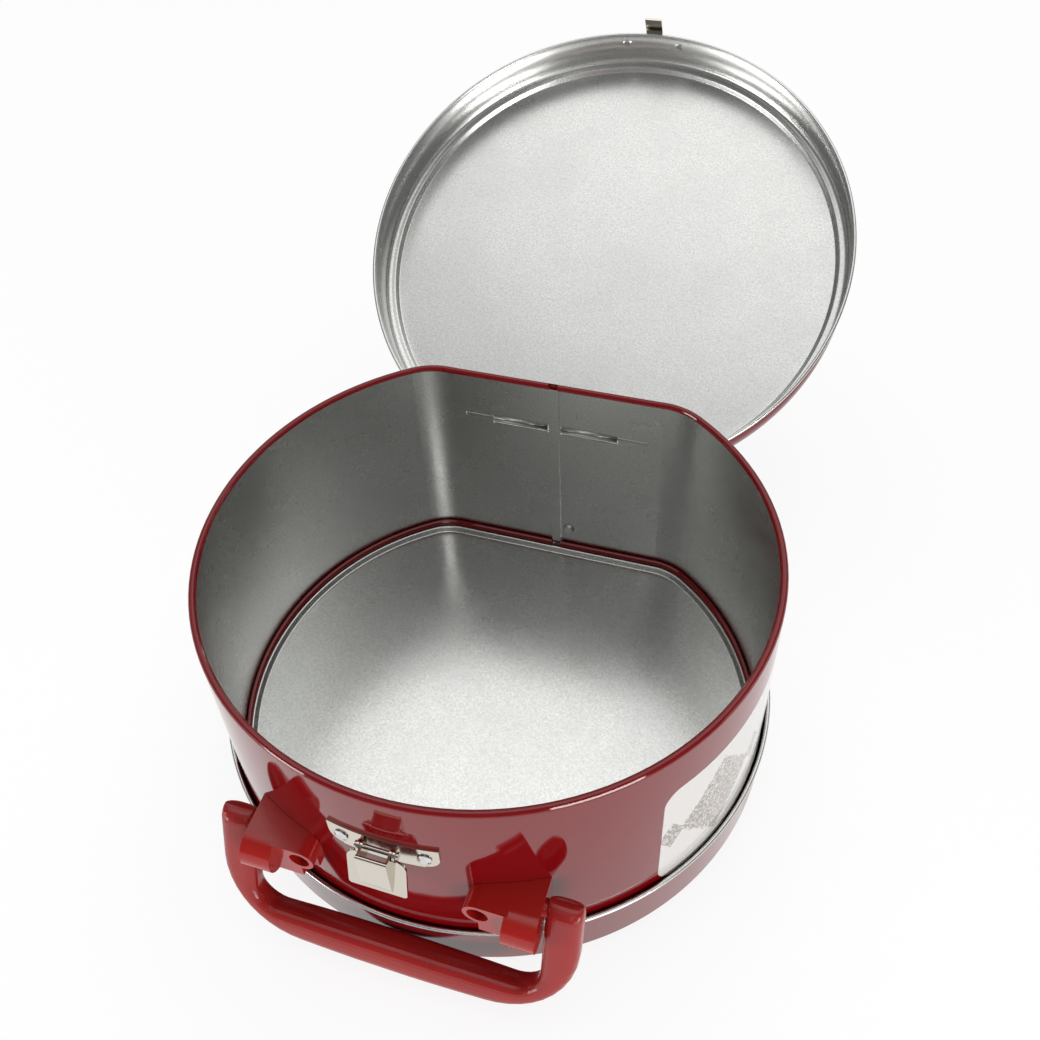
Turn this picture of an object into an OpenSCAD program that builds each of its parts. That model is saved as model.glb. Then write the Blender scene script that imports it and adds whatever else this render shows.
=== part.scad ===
// Round metal lunch box with one flat side, lying on its back pan with the lid open.
// +Z up, +X right, -Y towards the handle and latch, +Y towards the flat hinge side.
// The origin is the middle of the round outline, on the plane that the back pan rests on.

/* [Body] */
// Outer radius of the round wall
wall_r = 91; // [88:0.2:94]
// How far the flat side lies inside the full round
flat_in = 12.8; // [11:0.2:15]
// Outer radius of the two corners beside the flat side
corner_r = 22.3; // [20:0.1:25]
// Thickness of the tinplate
tin_t = 0.4; // [0.3:0.05:0.5]
// Height of the wall between the middles of its two rolled edges
wall_h = 82.5; // [76:0.5:100]
// Radius of the wall's two rolled edges
bead_r = 1.2; // [1.1:0.05:1.3]
// Width of the lock seam down the middle of the flat side
seam_w = 3.5; // [2.5:0.1:4.5]

/* [Pans] */
// Gap between the wall and the skirts of the pan and the lid
skirt_gap = 0.8; // [0.75:0.05:1]
// Radius of the rolled edges of the pan and the lid
edge_r = 0.7; // [0.6:0.05:0.9]
// Depth of the pan's skirt from the middle of its rolled edge to the outer face of its ledge
pan_skirt_h = 19.4; // [17:0.1:21]
// Depth of the lid's skirt from the middle of its rolled edge to the outer face of its ledge
lid_skirt_h = 16.2; // [14:0.1:19]
// Inner radius of the corner between a skirt and its ledge
pan_round = 2.1; // [1.9:0.1:2.2]
// Width of the flat ledge inside the rounded corner
ledge_w = 3.5; // [2.5:0.1:4]
// Width of the slope between the ledge and the centre panel
slope_w = 10.5; // [8:0.5:12]
// How far the centre panel stands out from the ledge
panel_rise = 1.8; // [1:0.1:2.5]

/* [Hinge] */
// Angle that the lid is open
lid_open = 149.3; // [120:0.1:149.3]
// Distance of the hinge pins below the top of the wall
hinge_drop = 21.6; // [19:0.1:24]
// Radius of the hinge pins
hinge_pin_r = 0.75; // [0.6:0.05:0.8]
// Distance from the seam to the inner end of a hinge tab
tab_x0 = 2.5; // [2.2:0.1:4]
// Length of a hinge tab
tab_w = 21; // [16:0.5:22]
// Length of the groove that holds the outer end of a pin
groove_w = 10; // [7:0.5:12]

/* [Latch] */
// Height of the latch rivets below the top of the wall
latch_drop = 23.6; // [22:0.1:26]
// Distance between the two latch rivets
latch_pitch = 24; // [22:0.5:27]
// Height of the latch plate
latch_plate_h = 9.4; // [8.5:0.1:10]
// Thickness of the latch plate, the hasp and the catch
latch_t = 0.7; // [0.6:0.05:0.8]
// Distance of the hasp pin from the round wall
hasp_pin_out = 2.7; // [2.5:0.1:3]
// Height of the hasp pin above the latch rivets
hasp_pin_up = 3.4; // [3:0.1:3.6]
// Radius of the hasp pin
hasp_pin_r = 0.7; // [0.6:0.05:0.8]
// Width of the hasp's flap
flap_w = 17.2; // [16:0.2:19]
// Length of the hasp's flap
flap_l = 14.2; // [13:0.2:15]
// Tilt of the flap away from the wall
flap_tilt = 11.5; // [9:0.5:13]
// Width of the raised pocket on the hasp
pocket_w = 9; // [8.6:0.1:10]
// How far the pocket's front stands out from the hasp pin
pocket_out = 4.6; // [4.4:0.1:5]
// Distance between the two rivets of the catch
catch_pitch = 21.2; // [20:0.2:23]
// Width of the hook on the catch
hook_w = 6.6; // [5.5:0.1:6.8]
// How far the hook reaches below the lid's rolled edge
hook_l = 6; // [5:0.1:6.5]

/* [Handle] */
// How far the handle pivot lies inside the front of the round wall
pivot_in = 4.5; // [3.2:0.1:5.2]
// Height of the handle pivot above the rest plane
pivot_z = 45.5; // [42:0.1:48]
// Radius of the handle pegs
peg_r = 2.6; // [2.2:0.1:2.8]
// Length of the handle pegs
peg_l = 6; // [5:0.1:6.5]
// Running clearance round a peg
peg_gap = 0.08; // [0.05:0.01:0.1]
// Distance between the outer faces of the two arms
handle_w = 109.6; // [108:0.2:112]
// Width of an arm, along the pivot
arm_w = 10.6; // [10:0.1:11.2]
// Thickness of an arm, across the bail
arm_t = 8; // [7:0.1:8.4]
// Distance from the pivot to the middle of the grip
grip_l = 36; // [34:0.5:40]
// Radius of the bail's outer bends
outer_bend_r = 27.5; // [22:0.5:29]
// Radius of the bail's inner bends
inner_bend_r = 7; // [6:0.5:12]
// Half height of the grip at its ends
grip_end_r = 4.8; // [4.4:0.1:5]
// Half height and half thickness of the grip in its middle
grip_r = 5.1; // [5:0.1:5.3]
// Tilt of the hanging handle away from the wall
handle_tilt = 18; // [18:0.5:24]
// Height of the brackets
bracket_h = 13.2; // [12:0.1:14]
// Height of the brackets' top above the pivot
bracket_up = 4.8; // [4.4:0.1:5.4]
// Width of the bearing lobe of a bracket
lobe_w = 9.4; // [8.6:0.1:10]
// How far the bearing lobe stands out beyond the pivot
lobe_out = 12; // [11:0.1:12.6]
// Outer radius of the rivet boss of a bracket
boss_r = 4.4; // [4:0.1:4.6]
// Inner radius of the rivet boss of a bracket
boss_bore_r = 3.1; // [2.8:0.1:3.2]
// Distance of the rivet boss from the middle plane
boss_x = 26.7; // [25:0.1:28]

/* [Hidden] */
$fn = 96;

air = 0.3;                                   // clearance between pieces that move past each other
fit_gap = 0.05;                              // clearance between pieces that lie on each other
flat_y = wall_r - flat_in;
pivot_y = wall_r - pivot_in;

// The outline: a round wall, two corner arcs and a flat side, all tangent to each other.
corner_y = flat_y - corner_r;
corner_x = sqrt(pow(wall_r - corner_r, 2) - corner_y * corner_y);
join_a = atan2(corner_y, corner_x);          // where the round wall runs into a corner

// Heights
ledge_z = panel_rise;                        // outer face of the back pan's ledge
wall_z0 = ledge_z + tin_t + fit_gap + bead_r; // middle of the wall's lower rolled edge
wall_z1 = wall_z0 + wall_h;                  // middle of the wall's upper rolled edge
top_z = wall_z1 + bead_r;                    // top of the wall
lid_ledge_z = top_z + air + tin_t;           // outer face of the closed lid's ledge
edge_u = skirt_gap + edge_r;                 // middle of a pan's rolled edge, out from the wall
tab_bore_r = hinge_pin_r + fit_gap;
tab_r = tab_bore_r + tin_t + 0.03;
hinge_y = flat_y + skirt_gap + tin_t - tab_r - 0.02; // the tabs run straight down from the lid's skirt
hinge_z = top_z - hinge_drop;
groove_end = tab_x0 + tab_w + 1 + groove_w;

// ---------- shared forms ----------

// A sector of a disc or a ring, from angle a0 to a1, between radii r0 and r1.
module sector(r0, r1, a0, a1, z0, z1) {
    rotate([0, 0, a0])
        rotate_extrude(angle = a1 - a0)
            translate([r0, z0])
                square([r1 - r0, z1 - z0]);
}

// Carries a profile round the whole outline. The profile's x is the distance out from the wall's
// outer face and its y is the height. The corners lap over their neighbours and stand a hair
// proud of them, so that no two surfaces fall on each other.
lap = 0.5;
hair = 0.02;
module round_outline() {
    rotate([0, 0, 180 - join_a])
        rotate_extrude(angle = 180 + 2 * join_a)
            translate([wall_r, 0]) children();
    lap_a = lap / corner_r * 180 / PI;
    for (a0 = [join_a, 90])
        translate([a0 < 90 ? corner_x : -corner_x, corner_y, 0])
            rotate([0, 0, a0 - lap_a])
                rotate_extrude(angle = 90 - join_a + 2 * lap_a)
                    translate([corner_r + hair, hair]) children();
    translate([-corner_x, flat_y, 0])
        rotate([90, 0, 90])
            linear_extrude(2 * corner_x) children();
}

// A flat plate of the outline's shape, moved out by u.
module outline_plate(u, z0, z1) {
    left = [-corner_x, corner_y];
    right = [corner_x, corner_y];
    translate([0, 0, z0])
        linear_extrude(z1 - z0)
            polygon(concat(arc([0, 0], wall_r + u, 180 - join_a, 360 + join_a, 90),
                           arc(right, corner_r + u, join_a, 90, 8),
                           arc(left, corner_r + u, 90, 180 - join_a, 8)));
}

// Puts its children, drawn with -Y outwards from the wall's outer face, on the round wall at x, z.
module on_wall(x, z) {
    rotate([0, 0, asin(x / wall_r)]) translate([0, -wall_r, z]) children();
}

// Points of an arc in the plane, from angle a0 to a1 in n steps.
function arc(c, r, a0, a1, n) = [for (i = [0 : n]) let (a = a0 + (a1 - a0) * i / n) c + r * [cos(a), sin(a)]];

// A rolled edge in section: the sheet turns through curl_a and ends just short of itself. The
// points run along the sheet's one face and back along its other.
curl_a = 282;
curl_n = 12;
function curl(c, r, a0, turn) = concat(
    arc(c, r - tin_t, a0, a0 + turn * curl_a, curl_n),
    arc(c, r, a0 + turn * curl_a, a0, curl_n));

// Section of the pressed pan: rolled edge, skirt, rounded corner, ledge and the soft slope.
// The height 0 is the outer face of the ledge.
slope_steps = 7;
slope_u0 = skirt_gap - pan_round - ledge_w;
function slope_z(i) = -panel_rise * (1 - cos(180 * i / slope_steps)) / 2;
module pan_section(skirt_h) {
    corner = [skirt_gap - pan_round, tin_t + pan_round];
    panel_u = slope_u0 - slope_w - 1;
    polygon(concat(
        [[panel_u, -panel_rise]],
        [for (i = [slope_steps : -1 : 0]) [slope_u0 - slope_w * i / slope_steps, slope_z(i)]],
        arc(corner, pan_round + tin_t, -90, 0, 5),
        curl([edge_u, skirt_h], edge_r, 180, -1),
        arc(corner, pan_round, 0, -90, 5),
        [for (i = [0 : slope_steps]) [slope_u0 - slope_w * i / slope_steps, slope_z(i) + tin_t]],
        [[panel_u, -panel_rise + tin_t]]));
}

module pan_shell(skirt_h) {
    round_outline() pan_section(skirt_h);
    outline_plate(slope_u0 - slope_w - 0.5, -panel_rise + hair, -panel_rise + tin_t - hair / 2);
}

// A rivet along Y with its closed head towards -Y. The sheets lie between y0 (outside) and y1.
module rivet(y0, y1, shank_r, head_r, head_t, tail_r, tail_t) {
    rotate([90, 0, 0]) {
        translate([0, 0, -y0]) cylinder(h = head_t * 0.4, r = head_r);
        translate([0, 0, -y0 + head_t * 0.4]) cylinder(h = head_t * 0.6, r1 = head_r, r2 = head_r * 0.55);
        translate([0, 0, -y1]) cylinder(h = y1 - y0, r = shank_r);
        translate([0, 0, -y1 - tail_t]) cylinder(h = tail_t, r1 = tail_r * 0.7, r2 = tail_r);
    }
}

// ---------- wall ----------

seam_t = 2 * tin_t;
function wall_y(x) = -sqrt(wall_r * wall_r - x * x);
slot_up = bead_r + 0.15;
slot_down = 2.6;

module wall_section() {
    polygon(concat(
        curl([-bead_r, wall_z0], bead_r, 0, -1),
        arc([-bead_r, wall_z1], bead_r, 0, curl_a, curl_n),
        arc([-bead_r, wall_z1], bead_r - tin_t, curl_a, 0, curl_n)));
}

module pin_groove() {
    translate([tab_x0 + tab_w + 1, hinge_y, hinge_z])
        rotate([0, 90, 0])
            difference() {
                cylinder(h = groove_w, r = tab_bore_r + tin_t);
                translate([0, 0, -1]) cylinder(h = groove_w + 2, r = tab_bore_r);
                translate([-2 * tab_bore_r - 2, -4 + flat_y - tin_t / 2 - hinge_y, -1]) cube([4 * tab_bore_r + 4, 4, groove_w + 2]);
            }
}

module band() {
    color("#8c0c14") {
        difference() {
            round_outline() wall_section();
            // the rolled edges are flattened where the seam crosses them
            for (z = [wall_z0 - 2 * bead_r, wall_z1 - bead_r])
                translate([-seam_w / 2, flat_y - 3 * bead_r, z])
                    cube([seam_w, 3 * bead_r - tin_t, 3 * bead_r]);
            // slots for the lid's hinge tabs, and the openings behind the pin grooves
            for (side = [0, 1])
                mirror([side, 0, 0]) {
                    translate([tab_x0 - air, flat_y - 2, hinge_z - slot_down])
                        cube([tab_w + 2 * air, 4, slot_down + slot_up]);
                    translate([tab_x0 + tab_w, flat_y - 2, hinge_z - tab_bore_r])
                        cube([groove_w + 1, 4, 2 * tab_bore_r]);
                }
            rivet_holes();
        }
        translate([-seam_w / 2, flat_y - tin_t - seam_t, wall_z0 + bead_r])
            cube([seam_w, seam_t + tin_t / 2, wall_h - 2 * bead_r]);
        for (side = [0, 1])
            mirror([side, 0, 0]) {
                pin_groove();
                // the dimple that stops the pin from sliding out
                translate([groove_end + 1.6, flat_y - tin_t / 2, hinge_z])
                    rotate([-90, 0, 0]) cylinder(h = tin_t / 2 + 0.5, r1 = 1.6, r2 = 0.9);
            }
    }
}

// ---------- back pan ----------

pan_rivet_z = wall_z0 + 9;
pan_rivet_x = 5;
rivet_shank_r = 1.1;

module rivet_holes() {
    translate([pan_rivet_x, flat_y, pan_rivet_z])
        rotate([90, 0, 0]) cylinder(h = 12, r = rivet_shank_r + fit_gap, center = true);
    for (side = [-1, 1]) {
        on_wall(side * latch_pitch / 2, latch_z) rivet_hole();
        translate([side * boss_x, -wall_r, boss_z]) rivet_hole();
    }
}

module rivet_hole(r = rivet_shank_r) {
    rotate([90, 0, 0]) cylinder(h = 16, r = r + fit_gap, center = true);
}

module back_pan() {
    color("#9c2a30")
        difference() {
            translate([0, 0, ledge_z]) pan_shell(pan_skirt_h);
            rivet_holes();
        }
}

module pan_rivet() {
    color("silver")
        translate([pan_rivet_x, flat_y, pan_rivet_z])
            rotate([0, 0, 180])
                rivet(-skirt_gap - tin_t - 2 * fit_gap, tin_t + 2 * fit_gap, rivet_shank_r, 2.2, 0.9, 2.2, 0.9);
}

// ---------- hinge pins ----------

module hinge_pin(side) {
    color("silver")
        mirror([side < 0 ? 1 : 0, 0, 0])
            translate([tab_x0, hinge_y, hinge_z])
                rotate([0, 90, 0]) cylinder(h = groove_end - tab_x0 - 0.5, r = hinge_pin_r);
}

// ---------- lid ----------

// Everything on the lid is drawn closed and then turned about the hinge pins.
module on_open_lid() {
    translate([0, hinge_y, hinge_z])
        rotate([-lid_open, 0, 0])
            translate([0, -hinge_y, -hinge_z]) children();
}

// A hinge tab: the lid's skirt runs down and curls round the pin. In its section x is +Y.
module lid_tab() {
    tab_top = lid_ledge_z - lid_skirt_h + edge_r - hinge_z;
    translate([tab_x0, hinge_y, hinge_z])
        rotate([90, 0, 90])
            difference() {
                linear_extrude(tab_w)
                    polygon(concat([[tab_r - tin_t, 0], [tab_r - tin_t, tab_top], [tab_r, tab_top]],
                                   arc([0, 0], tab_r, 0, -curl_a, 18), [[0, 0]]));
                translate([0, 0, -1]) cylinder(h = tab_w + 2, r = tab_bore_r);
            }
}

module lid() {
    color("#9c2a30")
        on_open_lid() {
            difference() {
                translate([0, 0, lid_ledge_z]) mirror([0, 0, 1]) pan_shell(lid_skirt_h);
                for (side = [0, 1])
                    mirror([side, 0, 0])
                        translate([tab_x0 - air, flat_y + skirt_gap + tin_t - 0.05, lid_ledge_z - lid_skirt_h - 2 * edge_r])
                            cube([tab_w + 2 * air, 3 * edge_r, 4 * edge_r]);
                catch_rivet_holes();
            }
            for (side = [0, 1])
                mirror([side, 0, 0]) lid_tab();
        }
}

// ---------- latch ----------

latch_z = top_z - latch_drop;
latch_r0 = wall_r + fit_gap;
latch_end_r = 4.2;
hasp_pin_y = -wall_r - hasp_pin_out;
hasp_pin_z = latch_z + hasp_pin_up;
cheek_r = hasp_pin_out - latch_t - fit_gap - air; // the cheeks turn clear of the latch plate
ear_x0 = pocket_w / 2 + air;                 // inner face of an ear
ear_r = cheek_r;

module latch_plate_outline() {
    translate([-latch_pitch / 2 - latch_end_r, 0])
        square([latch_pitch + 2 * latch_end_r, latch_plate_h / 2]);
    for (side = [-1, 1])
        translate([side * latch_pitch / 2, 0]) circle(latch_end_r);
    translate([-latch_pitch / 2, -latch_plate_h / 2]) square([latch_pitch, latch_plate_h / 2]);
}

module latch_plate() {
    color("silver") {
        difference() {
            intersection() {
                sector(latch_r0, latch_r0 + latch_t, 250, 290, latch_z - latch_plate_h, latch_z + latch_plate_h);
                translate([0, -wall_r + 20, latch_z])
                    rotate([90, 0, 0]) linear_extrude(30) latch_plate_outline();
            }
            rivet_holes();
        }
        for (side = [0, 1])
            mirror([side, 0, 0])
                difference() {
                    translate([ear_x0, 0, 0])
                        rotate([90, 0, 90]) linear_extrude(latch_t) {
                            translate([hasp_pin_y, hasp_pin_z]) circle(ear_r);
                            translate([hasp_pin_y, hasp_pin_z - ear_r * 2.2])
                                square([-latch_r0 - 0.1 - hasp_pin_y, ear_r * 2.2 + 0.4]);
                        }
                    translate([0, hasp_pin_y, hasp_pin_z])
                        rotate([0, 90, 0]) cylinder(h = 20, r = hasp_pin_r + fit_gap);
                }
    }
}

module latch_rivet(side) {
    color("silver")
        on_wall(side * latch_pitch / 2, latch_z)
            rivet(-latch_t - 3 * fit_gap, tin_t + 2 * fit_gap, rivet_shank_r, 2.1, 0.8, 2, 0.8);
}

module hasp_pin() {
    reach = ear_x0 + latch_t + 0.2;
    color("silver")
        translate([0, hasp_pin_y, hasp_pin_z])
            rotate([0, 90, 0]) {
                cylinder(h = 2 * reach, r = hasp_pin_r, center = true);
                for (side = [-1, 1])
                    translate([0, 0, side * (reach + 0.3)])
                        cylinder(h = 0.6, r = hasp_pin_r + 0.35, center = true);
            }
}

// The hasp is drawn from its pin, with -Y outwards. Its flap leans out from the wall, and the
// pocket stands upright in front of it, open at its top and at its back.
cheek_t = latch_t;
flap_y = 0.7;                                // flap's back below the pin, out from the pin
flap_z = 1.2;                                // flap's top edge below the pin
flap_round = 3.2;
pocket_rim = 1.2;                            // rim of the pocket above the pin
pocket_foot = flap_z + (flap_l - 1.2) * cos(flap_tilt);
heel_z = 5.5;                                // the cheeks' heels, which rest against the latch plate

module flap() {
    translate([0, -flap_y, -flap_z])
        rotate([-flap_tilt, 0, 0])
            rotate([90, 0, 0])
                linear_extrude(latch_t) {
                    for (side = [-1, 1]) {
                        translate([side * (flap_w / 2 - flap_round), -flap_round]) circle(flap_round);
                        translate([side * (flap_w / 2 - 1), -flap_l + 1]) circle(1);
                    }
                    translate([-flap_w / 2 + flap_round, -flap_round]) square([flap_w - 2 * flap_round, flap_round]);
                    translate([-flap_w / 2, -flap_l + 1]) square([flap_w, flap_l - 1 - flap_round]);
                    translate([-flap_w / 2 + 1, -flap_l]) square([flap_w - 2, 1.5]);
                }
}

function flap_at(z) = -flap_y - (-flap_z - z) * tan(flap_tilt);
module pocket_sides() {
    polygon([[-pocket_out, pocket_rim], [-pocket_out, -pocket_foot + 2.2],
             [flap_at(-pocket_foot) - latch_t, -pocket_foot], [flap_at(-pocket_foot) - 0.1, -pocket_foot],
             [flap_at(-heel_z) - 0.1, -heel_z], [cheek_r, -heel_z], [cheek_r, 0], [0, pocket_rim]]);
    circle(cheek_r);
}

module hasp() {
    half = pocket_w / 2;
    color("silver")
        translate([0, hasp_pin_y, hasp_pin_z])
            difference() {
                union() {
                    flap();
                    translate([-half, 0, 0])
                        rotate([90, 0, 90]) linear_extrude(pocket_w) pocket_sides();
                    translate([0, -pocket_out + 0.65, pocket_rim - 0.1])
                        rotate([0, 90, 0]) cylinder(h = pocket_w, r = 0.65, center = true);
                }
                rotate([0, 90, 0]) cylinder(h = 30, r = hasp_pin_r + 0.06, center = true);
                // room for the ears
                for (side = [0, 1])
                    mirror([side, 0, 0])
                        translate([half, 0, 0])
                            rotate([0, 90, 0]) cylinder(h = latch_t + 2 * air, r = ear_r + air);
                // inside of the pocket
                translate([-half + cheek_t, 0, 0])
                    rotate([90, 0, 90])
                        linear_extrude(pocket_w - 2 * cheek_t)
                            polygon([[-pocket_out + latch_t, 0], [-pocket_out + latch_t, -pocket_foot + 2.6],
                                     [flap_at(-pocket_foot) + 0.2, -pocket_foot + 1], [4, -pocket_foot + 1],
                                     [4, 4], [-pocket_out + 1.3, 4], [-pocket_out + 1.3, 0]]);
            }
}

// ---------- catch on the lid ----------

catch_z0 = lid_ledge_z - lid_skirt_h + edge_r + air;
catch_h = 6.2;
catch_z = catch_z0 + catch_h / 2;
catch_r0 = wall_r + skirt_gap + tin_t + fit_gap;
catch_shank_r = 0.9;
hook_y = hasp_pin_y - hasp_pin_r - air;      // back of the hook, in front of the hasp's pin
hook_z = catch_z0 - 2 * edge_r - air - hook_l;
barb = 0.4;                                  // flare of the hook's tip

module catch_rivet_holes() {
    for (side = [-1, 1])
        on_wall(side * catch_pitch / 2, catch_z) rivet_hole(catch_shank_r);
}

module catch_plate() {
    color("silver")
        on_open_lid()
            difference() {
                union() {
                    intersection() {
                        sector(catch_r0, catch_r0 + latch_t, 255, 285, catch_z0, catch_z0 + catch_h);
                        translate([0, -wall_r + 20, catch_z])
                            rotate([90, 0, 0])
                                linear_extrude(30)
                                    polygon(concat(arc([-catch_pitch / 2, 0], catch_h / 2, 90, 270, 12),
                                                   arc([catch_pitch / 2, 0], catch_h / 2, -90, 90, 12)));
                    }
                    // the hook goes out over the lid's rolled edge, down past it and out to a barb
                    translate([-hook_w / 2, 0, 0])
                        rotate([90, 0, 90])
                            linear_extrude(hook_w)
                                polygon([[-catch_r0 - latch_t / 2, catch_z0 + 0.01], [-catch_r0 - latch_t / 2, catch_z0 + latch_t],
                                         [hook_y - latch_t + 0.3, catch_z0 + latch_t], [hook_y - latch_t, catch_z0 + latch_t - 0.3],
                                         [hook_y - latch_t, hook_z + barb], [hook_y - latch_t - barb, hook_z + latch_t],
                                         [hook_y - latch_t - barb, hook_z + 0.3], [hook_y - latch_t - barb + 0.3, hook_z],
                                         [hook_y, hook_z], [hook_y, catch_z0 + 0.01]]);
                }
                catch_rivet_holes();
            }
}

module catch_rivet(side) {
    color("silver")
        on_open_lid()
            on_wall(side * catch_pitch / 2, catch_z)
                rivet(-skirt_gap - tin_t - latch_t - 3 * fit_gap, -skirt_gap + 2 * fit_gap, catch_shank_r, 1.9, 0.7, 1.9,
                      skirt_gap - air - 3 * fit_gap);
}

// ---------- handle brackets ----------

bracket_z1 = pivot_z + bracket_up;
bracket_z0 = bracket_z1 - bracket_h;
lobe_x1 = handle_w / 2 - arm_w - air - 0.1;
lobe_x0 = lobe_x1 - lobe_w;
lobe_nose_y = -pivot_y - lobe_out + bracket_h / 2;
boss_z = bracket_z1 - boss_r;
boss_y = -wall_r - 3.2;
bracket_seat_r = wall_r + fit_gap;
bracket_tail_r = 2.6;
// The rivet runs along Y, so its tail clears the inner face of the slanting wall beside it.
tail_y = fit_gap - sqrt(pow(wall_r - tin_t, 2) - pow(boss_x + bracket_tail_r, 2));

module bracket(side) {
    color("#a8201c")
        mirror([side < 0 ? 1 : 0, 0, 0])
            difference() {
                union() {
                    translate([lobe_x0, 0, 0])
                        rotate([90, 0, 90]) linear_extrude(lobe_w) {
                            translate([lobe_nose_y, (bracket_z0 + bracket_z1) / 2]) circle(bracket_h / 2);
                            translate([lobe_nose_y, bracket_z0]) square([30, bracket_h]);
                        }
                    translate([boss_x, boss_y, bracket_z0])
                        cube([lobe_x0 - boss_x + 1, 30, bracket_h]);
                    translate([boss_x, boss_y, boss_z])
                        rotate([-90, 0, 0]) cylinder(h = 30, r = boss_r);
                    translate([boss_x - boss_r, boss_y + 2.6, bracket_z0 + 3])
                        cube([boss_r, 30, boss_z - bracket_z0 - 3]);
                }
                translate([0, 0, -1]) cylinder(h = 200, r = bracket_seat_r, $fn = 180);
                translate([boss_x, boss_y - 1, boss_z])
                    rotate([-90, 0, 0]) cylinder(h = wall_y(boss_x) - boss_y - 1, r = boss_bore_r);
                translate([boss_x, boss_y, boss_z])
                    rotate([-90, 0, 0]) cylinder(h = 30, r = rivet_shank_r + fit_gap);
                translate([lobe_x1 - peg_l - 0.3, -pivot_y, pivot_z])
                    rotate([0, 90, 0]) cylinder(h = peg_l + 10, r = peg_r + peg_gap);
            }
}

module bracket_rivet(side) {
    color("silver")
        translate([side * boss_x, wall_y(boss_x), boss_z])
            rivet(-2 - fit_gap, tail_y - wall_y(boss_x), rivet_shank_r, 2.4, 1, bracket_tail_r, 1);
}

// ---------- handle ----------

// The bail lies in a plane, hanging straight down from its pivot at the origin. Each ring of its
// surface joins a point of the outer edge to a point of the inner edge. Along the bail, u runs
// from 0 at the arm's end to 1 at the start of the bend, 2 at its end and 3 in the grip's middle.
arm_x1 = handle_w / 2;
arm_x0 = arm_x1 - arm_w;
function bend(x, l, r, u) =
    u < 1 ? [x, -u * (l - r)] :
    u < 2 ? [x - r + r * cos(90 * (u - 1)), -(l - r) - r * sin(90 * (u - 1))] :
    [(x - r) * (3 - u), -l];
function swell(u) = u < 2 ? 0 : (1 - pow(3 - u, 2)) * (grip_r - grip_end_r);
function outer_edge(u) = bend(arm_x1, grip_l + grip_end_r, outer_bend_r, u) - [0, swell(u)];
function inner_edge(u) = bend(arm_x0, grip_l - grip_end_r, inner_bend_r, u) + [0, swell(u)];
function half_t(u) = u < 1 ? arm_t / 2 : arm_t / 2 + (grip_r - arm_t / 2) * pow(sin(45 * (u - 1)), 2);
ring_n = 28;
round_pow = 0.7;                             // 1 makes the section an ellipse, less makes it squarer
function soft(v) = sign(v) * pow(abs(v), round_pow);
function ring(a, b, h) = [for (i = [0 : ring_n - 1])
    let (w = soft(cos(360 * i / ring_n)), t = soft(sin(360 * i / ring_n)), m = (a + b) / 2 + w * (a - b) / 2)
    [m[0], h * t, m[1]]];
// The arm's end is rounded about the pivot.
end_steps = 6;
function end_ring(i) = let (q = 90 * (1 - i / end_steps) * 0.93, up = [0, arm_t / 2 * sin(q)], in = [0.8 * (1 - cos(q)), 0])
    ring(outer_edge(0) + up - in, inner_edge(0) + up + in, arm_t / 2 * cos(q));
half_bail = concat(
    [for (i = [0 : end_steps - 1]) end_ring(i)],
    [for (u = [0 : 0.5 : 1]) ring(outer_edge(u), inner_edge(u), half_t(u))],
    [for (u = [1.1 : 0.1 : 2]) ring(outer_edge(u), inner_edge(u), half_t(u))],
    [for (u = [2.2 : 0.2 : 3]) ring(outer_edge(u), inner_edge(u), half_t(u))]);
last = len(half_bail) - 1;
bail_rings = concat(half_bail,
    [for (k = [last - 1 : -1 : 0]) [for (p = half_bail[k]) [-p[0], p[1], p[2]]]]);

module bail() {
    count = len(bail_rings);
    polyhedron(
        points = [for (r = bail_rings) each r],
        faces = concat(
            [[for (i = [ring_n - 1 : -1 : 0]) i]],
            [for (k = [0 : count - 2], i = [0 : ring_n - 1])
                let (a = k * ring_n + i, b = k * ring_n + (i + 1) % ring_n)
                each [[a, b, a + ring_n], [b, b + ring_n, a + ring_n]]],
            [[for (i = [0 : ring_n - 1]) (count - 1) * ring_n + i]]),
        convexity = 6);
}

module handle() {
    color("#b0241c")
        translate([0, -pivot_y, pivot_z])
            rotate([-handle_tilt, 0, 0]) {
                bail();
                for (side = [0, 1])
                    mirror([side, 0, 0])
                        translate([arm_x0 - peg_l, 0, 0])
                            rotate([0, 90, 0]) cylinder(h = peg_l + 2, r = peg_r);
            }
}

band();
back_pan();
pan_rivet();
hinge_pin(-1);  // hinge_pin_left
hinge_pin(1);  // hinge_pin_right
latch_plate();
latch_rivet(-1);  // latch_rivet_left
latch_rivet(1);  // latch_rivet_right
hasp_pin();
bracket(-1);  // bracket_left
bracket(1);  // bracket_right
bracket_rivet(-1);  // bracket_rivet_left
bracket_rivet(1);  // bracket_rivet_right
lid();
catch_plate();
catch_rivet(-1);  // catch_rivet_left
catch_rivet(1);  // catch_rivet_right
hasp();
handle();
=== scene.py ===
# %% [markdown]
# # A round metal lunch box
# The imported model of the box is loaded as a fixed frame: every pressed, riveted and moulded
# piece is already there, in metres, with +Z up and the latch and handle towards -Y. This lesson
# gives the pieces their finishes, makes the two pans anew as thin surfaces, and lights the scene.

# %% Load the box
import math

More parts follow.
